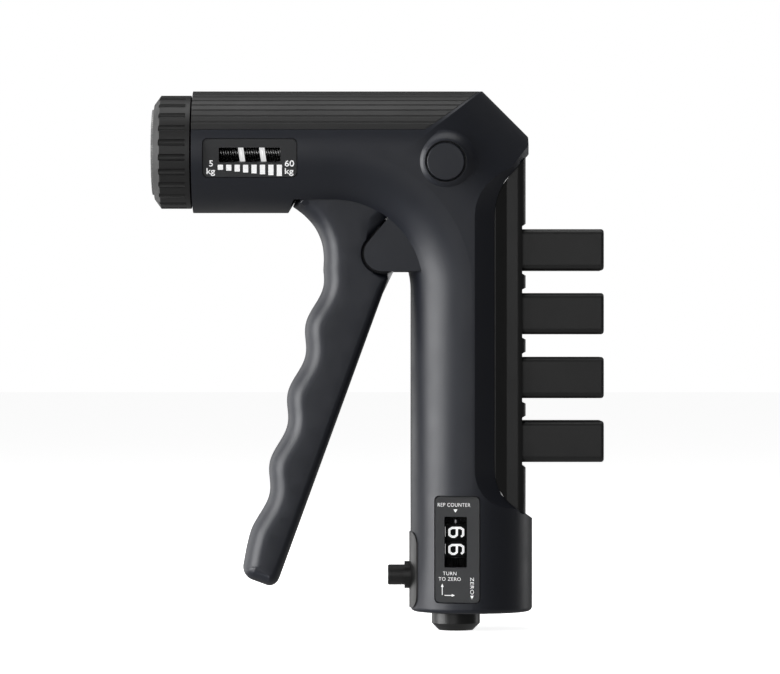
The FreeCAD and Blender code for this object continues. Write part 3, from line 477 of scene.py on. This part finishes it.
def rounded_slab(name, points, radii, half_y, look, body, turns=9, grid=3.0):
    """Slab with the given outline in XZ, its two rims rounded by the radius given at each outline point."""
    ring = [(p[0], p[1]) for p in points]
    count = len(ring)
    area = sum(ring[i - 1][0] * ring[i][1] - ring[i][0] * ring[i - 1][1] for i in range(count))
    side = 1 if area > 0 else -1
    inside = []
    for k in range(1, turns + 1):
        share = 1 - math.cos(math.pi / 2 * k / turns)
        for i in range(count):
            run = Vector(ring[(i + 1) % count]) - Vector(ring[i - 1])
            inward = Vector((-run.y, run.x)).normalized() * side
            inside.append((Vector(ring[i]) + inward * radii[i] * share, radii[i] * share))
    spots = np.array([tuple(p) for p, _ in inside])
    wanted = np.array([d for _, d in inside])
    reach = edge_reach(spots, ring, radii)[0]
    keep = spots[reach > 0.94 * wanted]
    low_x, low_z = np.array(ring).min(axis=0)
    high_x, high_z = np.array(ring).max(axis=0)
    mesh_x, mesh_z = np.meshgrid(np.arange(low_x, high_x, grid), np.arange(low_z, high_z, grid))
    lattice = np.column_stack([mesh_x.ravel(), mesh_z.ravel()])
    reach, size = edge_reach(lattice, ring, radii)
    keep = np.vstack([keep, lattice[reach > size + grid / 2]])
    flat = [Vector(p) for p in ring] + [Vector(p) for p in keep]
    flat, _, faces = delaunay_2d_cdt(flat, [], [list(range(count))], 1, 1e-4)[:3]
    faces = [face for face in faces if inside_ring(sum((flat[i] for i in face), Vector((0, 0))) / 3, ring)]
    reach, size = edge_reach(np.array([tuple(p) for p in flat]), ring, radii)
    depth = np.minimum(size * RIM_DEPTH, half_y - 0.4)
    dip = 1 - np.minimum(reach, size) / size
    heights = half_y - depth + depth * np.sqrt(np.maximum(1 - dip ** 2, 0.0))
    verts = [(p.x, -h, p.y) for p, h in zip(flat, heights)] + [(p.x, h, p.y) for p, h in zip(flat, heights)]
    total = len(flat)
    shell = [tuple(face) for face in faces] + [tuple(i + total for i in reversed(face)) for face in faces]
    for start, end in rim_edges(faces):
        shell.append((start, end, end + total, start + total))
    return add_mesh(name, verts, shell, look, body)


def rim_edges(faces):
    """Edges that only one face uses."""
    seen = {}
    for face in faces:
        for i, start in enumerate(face):
            pair = (start, face[(i + 1) % len(face)])
            key = tuple(sorted(pair))
            seen[key] = None if key in seen else pair
    return [pair for pair in seen.values() if pair]


def inside_ring(spot, ring):
    crossings = 0
    for i in range(len(ring)):
        ax, az = ring[i - 1]
        bx, bz = ring[i]
        if (az > spot.y) != (bz > spot.y) and spot.x < ax + (spot.y - az) * (bx - ax) / (bz - az):
            crossings += 1
    return crossings % 2 == 1


def make_grip():
    points, radii = grip_outline()
    grip = rounded_slab("grip", points, radii, 11.2, "body_plastic", "handle")
    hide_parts("handle_grip")
    hub = arc((PIVOT[0], PIVOT[2]), 6.3, -75, 75, 24)
    top = [Vector((2.2, 131.4)), Vector((-1.4, 131.6))]
    recess = arc((PIVOT[0], PIVOT[2]), CHEEK_GAP_R + 0.6, 135, 285, 24)
    core = hub + top + recess
    rounded_slab("grip_core", core, [0.4] * len(core), 7.7, "body_plastic", "handle", 3)


# Spring, screw and gauge


SPRING_MEET_X = -16.75
MAIN_TURNS = 7
MAIN_COIL_R = 7.35
MAIN_WIRE_R = 0.85
KEY_TURNS = 7
KEY_COIL_R = 3.2
KEY_WIRE_R = 0.5
PLUNGER_TURNS = 3
PLUNGER_COIL_R = 2.5
PLUNGER_WIRE_R = 0.35
SCREW_R = 2.5
THREAD_PITCH = 0.75
THREAD_STARTS = 4


def make_springs():
    z = BARREL_Z
    spring_low = low("main_spring").x
    spring_high = high("main_spring").x
    turns = MAIN_TURNS
    left_turns = turns * (SPRING_MEET_X - spring_low) / (spring_high - spring_low)
    left = helix_tube("spring_front", spring_low, SPRING_MEET_X, left_turns, MAIN_COIL_R, MAIN_WIRE_R, 0, z,
                      "gauge_spring", "body")
    phase = SPRING_PHASE + left_turns
    right_turns = turns - left_turns
    right = helix_tube("spring_rear", SPRING_MEET_X, spring_high, right_turns, MAIN_COIL_R, MAIN_WIRE_R, 0, z,
                       "gauge_spring", "body", phase)
    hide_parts("main_spring")
    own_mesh(left)
    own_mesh(right)
    for i in range(1, 5):
        node = "key_spring_" + str(i)
        start = low(node).x
        end = high(node).x
        coil = helix_tube("key_coil_" + str(i), start, end, KEY_TURNS, KEY_COIL_R, KEY_WIRE_R, 0,
                          centre(node).z, "spring_steel", "body")
        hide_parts(node)
        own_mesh(coil)
    start = low("plunger_spring").x
    end = high("plunger_spring").x
    coil = helix_tube("plunger_coil", start, end, PLUNGER_TURNS, PLUNGER_COIL_R, PLUNGER_WIRE_R, 0,
                      centre("plunger_spring").z, "spring_steel", "body")
    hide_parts("plunger_spring")
    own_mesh(coil)


def make_lead_screw():
    """Threaded rod with a true helical groove."""
    start = low("lead_screw").x
    end = high("lead_screw").x
    r = SCREW_R
    depth = 0.32
    around = 48
    step = THREAD_PITCH / 5
    count = int((end - start) / step)
    verts = []
    for i in range(count + 1):
        x = start + (end - start) * i / count
        edge = min(1.0, (end - x) / 0.6, (x - start) / 0.6)
        for k in range(around):
            angle = 2 * math.pi * k / around
            phase = (x / THREAD_PITCH + THREAD_STARTS * k / around) % 1.0
            wave = abs(2 * phase - 1)
            radius = r - depth * (1 - min(1.0, wave * 1.6)) - 0.45 * (1 - edge)
            verts.append((x, radius * math.sin(angle), BARREL_Z + radius * math.cos(angle)))
    faces = strip_faces(count + 1, around)
    faces.append(tuple(range(around)))
    faces.append(tuple(range(count * around, (count + 1) * around)))
    screw = add_mesh("threaded_screw", verts, faces, "screw_steel", "knob")
    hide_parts("lead_screw")


STROKE_STEP = 0.5
INK_THICK = 0.04
FINE_BOLD = -0.012
FINE_SPACING = 1.1


class Sheet:
    """A flat or curved face on which figures are laid: maps (right, up) in millimetres to points."""

    def __init__(self, name, place, body):
        self.name = name
        self.place = place
        self.body = body
        self.verts = []
        self.faces = []

    def shape(self, corners, thick=INK_THICK):
        """A raised polygon, from its corners in order."""
        base = len(self.verts)
        count = len(corners)
        for lift in (0.0, thick):
            for u, v in corners:
                self.verts.append(self.place(u, v, lift))
        self.faces.append(tuple(range(base + count, base + 2 * count)))
        self.faces.append(tuple(reversed(range(base, base + count))))
        for i in range(count):
            j = (i + 1) % count
            self.faces.append((base + i, base + j, base + count + j, base + count + i))

    def bar(self, u, v, width, height):
        self.shape([(u - width / 2, v - height / 2), (u + width / 2, v - height / 2),
                    (u + width / 2, v + height / 2), (u - width / 2, v + height / 2)])

    def stroke(self, points, width):
        """Line of constant width with mitred bends."""
        left = []
        right = []
        count = len(points)
        for i in range(count):
            here = Vector(points[i])
            before = (here - Vector(points[i - 1])).normalized() if i else None
            after = (Vector(points[i + 1]) - here).normalized() if i < count - 1 else None
            run = (before + after).normalized() if before and after else (before or after)
            side = Vector((-run.y, run.x))
            scale = 1.0 / max(0.5, side.dot(Vector((-(before or after).y, (before or after).x))))
            left.append(tuple(here + side * width / 2 * scale))
            right.append(tuple(here - side * width / 2 * scale))
        for i in range(count - 1):
            pieces = max(1, math.ceil((Vector(points[i + 1]) - Vector(points[i])).length / STROKE_STEP))
            for k in range(pieces):
                ends = []
                for share in (k / pieces, (k + 1) / pieces):
                    pair = [Vector(rim[i]).lerp(Vector(rim[i + 1]), share) for rim in (left, right)]
                    ends.append([tuple(point) for point in pair])
                self.shape([ends[0][0], ends[1][0], ends[1][1], ends[0][1]])

    def build(self, look="ink", slot="plate_print"):
        return add_mesh(self.name, self.verts, self.faces, look, self.body, smooth=False)


FIGURES = {
    "0": [[(0.2, 0), (0.8, 0), (1, 0.2), (1, 0.8), (0.8, 1), (0.2, 1), (0, 0.8), (0, 0.2), (0.2, 0)]],
    "1": [[(0.2, 0.8), (0.5, 1), (0.5, 0)]],
    "2": [[(0, 0.8), (0.2, 1), (0.8, 1), (1, 0.8), (1, 0.6), (0, 0.15), (0, 0), (1, 0)]],
    "3": [[(0, 1), (0.8, 1), (1, 0.8), (1, 0.65), (0.8, 0.5), (1, 0.35), (1, 0.2), (0.8, 0), (0, 0)],
          [(0.25, 0.5), (0.8, 0.5)]],
    "4": [[(0.75, 0), (0.75, 1), (0, 0.35), (1, 0.35)]],
    "5": [[(1, 1), (0, 1), (0, 0.55), (0.8, 0.55), (1, 0.4), (1, 0.2), (0.8, 0), (0, 0)]],
    "6": [[(1, 0.85), (0.8, 1), (0.2, 1), (0, 0.8), (0, 0.2), (0.2, 0), (0.8, 0), (1, 0.2), (1, 0.38),
           (0.8, 0.54), (0, 0.54)]],
    "7": [[(0, 1), (1, 1), (0.4, 0)]],
    "8": [[(0.2, 0), (0.8, 0), (1, 0.2), (1, 0.35), (0.8, 0.52), (1, 0.68), (1, 0.82), (0.8, 1), (0.2, 1),
           (0, 0.82), (0, 0.68), (0.2, 0.52), (0, 0.35), (0, 0.2), (0.2, 0)], [(0.2, 0.52), (0.8, 0.52)]],
    "9": [[(0, 0.15), (0.2, 0), (0.8, 0), (1, 0.2), (1, 0.8), (0.8, 1), (0.2, 1), (0, 0.8), (0, 0.62),
           (0.2, 0.46), (1, 0.46)]],
}


def letter_mesh(name, text, height, place, body, wide=1.0, bold=0.018, spacing=1.0, turn=0.0):
    """Plain letters laid on a face; height is the capitals' height, centred on the place's zero."""
    curve = bpy.data.curves.new(name, "FONT")
    curve.body = text
    curve.align_x = "CENTER"
    curve.align_y = "CENTER"
    curve.size = height / 0.7
    curve.offset = height * bold
    curve.space_character = spacing
    curve.extrude = INK_THICK / 2
    holder = bpy.data.objects.new(name + "_source", curve)
    bpy.context.scene.collection.objects.link(holder)
    bpy.context.view_layer.update()
    mesh = bpy.data.meshes.new_from_object(holder.evaluated_get(bpy.context.evaluated_depsgraph_get()))
    bpy.data.objects.remove(holder)
    cos, sin = math.cos(turn), math.sin(turn)
    verts = []
    for vertex in mesh.vertices:
        x, y = vertex.co.x * wide, vertex.co.y
        verts.append(place(x * cos - y * sin, x * sin + y * cos, vertex.co.z + INK_THICK / 2))
    faces = [tuple(p.vertices) for p in mesh.polygons]
    return add_mesh(name, verts, faces, "ink", body, smooth=False)


GAUGE_TILT = math.radians(7.9)
GAUGE_FACE = 17.95
COUNTER_TILT = math.radians(15.3)
COUNTER_FACE = 17.5


def gauge_place(u0, v0):
    """Maps (right, up) round (u0, v0) to the gauge plate; v is measured from the plate's centre line."""
    def place(u, v, lift):
        out = GAUGE_FACE + lift
        along = v0 + v
        y = -out * math.cos(GAUGE_TILT) - along * math.sin(GAUGE_TILT)
        z = BARREL_Z - out * math.sin(GAUGE_TILT) + along * math.cos(GAUGE_TILT)
        return (u0 + u, y, z)
    return place


def counter_place(u0, v0):
    """Maps (right, up) round (u0, v0) to the counter plate; u is measured from the plate's middle."""
    def place(u, v, lift):
        out = COUNTER_FACE + lift
        along = u0 + u
        x = PILLAR_X - out * math.sin(COUNTER_TILT) + along * math.cos(COUNTER_TILT)
        y = -out * math.cos(COUNTER_TILT) - along * math.sin(COUNTER_TILT)
        return (x, y, v0 + v)
    return place


def make_gauge_print():
    marks = Sheet("gauge_bars", gauge_place(-48.25, -2.1), "body")
    for i in range(8):
        height = 1.55 + 0.28 * i
        marks.bar(2.6 * i, -height / 2, 1.6, height)
    marks.build()
    letter_mesh("gauge_low", "5", 1.85, gauge_place(-51.1, -1.8), "body", 1.1)
    letter_mesh("gauge_low_unit", "kg", 1.8, gauge_place(-51.3, -4.15), "body", 1.2)
    letter_mesh("gauge_high", "60", 1.85, gauge_place(-26.95, -1.8), "body", 1.15)
    letter_mesh("gauge_high_unit", "kg", 1.8, gauge_place(-27.1, -4.15), "body", 1.2)


def make_counter_print():
    marks = Sheet("counter_marks", counter_place(-0.6, 0.0), "body")
    marks.shape([(-0.65, 37.9), (0.65, 37.9), (0.0, 36.9)])
    marks.shape([(4.7, 11.3), (5.8, 11.3), (5.25, 10.2)])
    marks.stroke([(-4.2, 11.4), (-4.2, 14.6)], 0.24)
    marks.shape([(-4.65, 13.9), (-3.75, 13.9), (-4.2, 14.9)])
    marks.stroke([(-3.5, 11.3), (-0.6, 11.3)], 0.24)
    marks.shape([(-1.2, 10.85), (-0.2, 11.3), (-1.2, 11.75)])
    marks.build()
    letter_mesh("counter_title", "REP COUNTER", 1.15, counter_place(-1.1, 39.2), "body", 0.9, FINE_BOLD,
                FINE_SPACING)
    letter_mesh("counter_hint_a", "TURN", 1.1, counter_place(-2.4, 18.0), "body", 1.0, FINE_BOLD, FINE_SPACING)
    letter_mesh("counter_hint_b", "TO ZERO", 1.1, counter_place(-2.4, 16.3), "body", 1.0, FINE_BOLD,
                FINE_SPACING)
    letter_mesh("counter_side", "ZERO", 1.15, counter_place(4.65, 14.3), "body", 1.2, -0.005, FINE_SPACING,
                -math.pi / 2)


def wheel_place(node, body_centre_z, angle0):
    """Maps (right, up) of a figure on its side to the wheel's rim: up runs round it, right runs down."""
    r = (high(node).x - low(node).x) / 2

    def place(u, v, lift):
        angle = angle0 + v / r
        x = WHEEL_AXIS[0] + (r + lift) * math.sin(angle)
        y = WHEEL_AXIS[1] - (r + lift) * math.cos(angle)
        return (x, y, body_centre_z - u)
    return place


FIGURE_SHOWN = 6
FIGURE_W = 2.75
FIGURE_H = 4.3
FIGURE_STROKE = 0.66


def make_wheel_figures():
    for node, body in (("units_wheel", "units"), ("tens_wheel", "tens")):
        sheet = None
        for digit in range(10):
            angle = 2 * math.pi * (digit - FIGURE_SHOWN) / 10
            place = wheel_place(node, centre(node).z, angle)
            if sheet is None:
                sheet = Sheet(node.replace("wheel", "figures"), place, body)
            sheet.place = place
            for line in FIGURES[str(digit)]:
                scaled = [((u - 0.5) * FIGURE_W, (v - 0.5) * FIGURE_H) for u, v in line]
                sheet.stroke(scaled, FIGURE_STROKE)
        sheet.build("wheel_ink", "wheel_print")


# Studio


ROOM_LIGHT = 0.11
BOUNCE_LIGHT = 0.38
FLOOR_REACH = 6000
FLOOR_GLOW = 0.86
CAMERA_PLACE = (4.1, -1400.0, 91.1)
CAMERA_LENS = 206.8

def add_light(name, place_mm, target_mm, size_mm, watts, shape_y_mm=None):
    data = bpy.data.lights.new(name, "AREA")
    data.energy = watts
    data.shape = "RECTANGLE"
    data.size = size_mm * MM
    data.size_y = (shape_y_mm or size_mm) * MM
    lamp = bpy.data.objects.new(name, data)
    bpy.context.scene.collection.objects.link(lamp)
    lamp.location = Vector(place_mm) * MM
    lamp.rotation_euler = (Vector(target_mm) - Vector(place_mm)).to_track_quat("-Z", "Y").to_euler()


def make_world():
    """White behind the object as the camera sees it, and a dim, even room as the object sees it."""
    world = bpy.data.worlds.new("studio")
    world.use_nodes = True
    nodes = world.node_tree.nodes
    links = world.node_tree.links
    room = nodes["Background"]
    room.inputs["Color"].default_value = (1.0, 1.0, 1.0, 1.0)
    direction = nodes.new("ShaderNodeTexCoord")
    height = nodes.new("ShaderNodeSeparateXYZ")
    level = nodes.new("ShaderNodeMapRange")
    level.inputs["From Min"].default_value = -0.8
    level.inputs["From Max"].default_value = 0.1
    level.inputs["To Min"].default_value = BOUNCE_LIGHT
    level.inputs["To Max"].default_value = ROOM_LIGHT
    links.new(direction.outputs["Generated"], height.inputs["Vector"])
    links.new(height.outputs["Z"], level.inputs["Value"])
    links.new(level.outputs["Result"], room.inputs["Strength"])
    backdrop = nodes.new("ShaderNodeBackground")
    backdrop.inputs["Color"].default_value = (1.0, 1.0, 1.0, 1.0)
    path = nodes.new("ShaderNodeLightPath")
    blend = nodes.new("ShaderNodeMixShader")
    links.new(path.outputs["Is Camera Ray"], blend.inputs["Fac"])
    links.new(room.outputs["Background"], blend.inputs[1])
    links.new(backdrop.outputs["Background"], blend.inputs[2])
    links.new(blend.outputs["Shader"], nodes["World Output"].inputs["Surface"])
    bpy.context.scene.world = world


def make_floor():
    far = FLOOR_REACH
    z = cad_box[0].z / MM
    corners = [(-far, -far, z), (far, -far, z), (far, far, z), (-far, far, z)]
    mesh = bpy.data.meshes.new("floor")
    mesh.from_pydata([Vector(v) * MM for v in corners], [], [(0, 1, 2, 3)])
    look = Look("floor_card", (0.9, 0.9, 0.9), 0.8)
    look.vary_colour(look.noise(400.0, 2.0), 0.99)
    look.set("Emission Color", (1.0, 1.0, 1.0, 1.0))
    look.set("Emission Strength", FLOOR_GLOW)
    mesh.materials.append(look.material)
    floor = bpy.data.objects.new("floor", mesh)
    bpy.context.scene.collection.objects.link(floor)
    floor.visible_glossy = False
    floor.visible_diffuse = False


def make_studio():
    make_world()
    make_floor()
    middle = (0, 0, 90)
    add_light("key", (-950, -230, 200), middle, 850, 18, 900)
    add_light("edge", (-750, 750, 150), middle, 700, 2.8, 900)
    add_light("fill", (-330, -1480, 310), middle, 850, 3.6)
    add_light("rim", (850, 500, 150), middle, 260, 1.3, 900)
    add_light("top", (-150, 50, 950), middle, 600, 4.2, 1250)
    bpy.context.scene.view_settings.view_transform = "Standard"


def make_camera():
    data = bpy.data.cameras.new("camera")
    data.lens = CAMERA_LENS
    data.sensor_width = 36.0
    camera = bpy.data.objects.new("camera", data)
    bpy.context.scene.collection.objects.link(camera)
    camera.location = Vector(CAMERA_PLACE) * MM
    camera.rotation_euler = (math.pi / 2, 0, 0)
    bpy.context.scene.camera = camera


def main():
    make_camera()
    dress_cad_nodes()
    make_grip()
    make_springs()
    make_lead_screw()
    make_gauge_print()
    make_counter_print()
    make_wheel_figures()
    make_studio()


main()
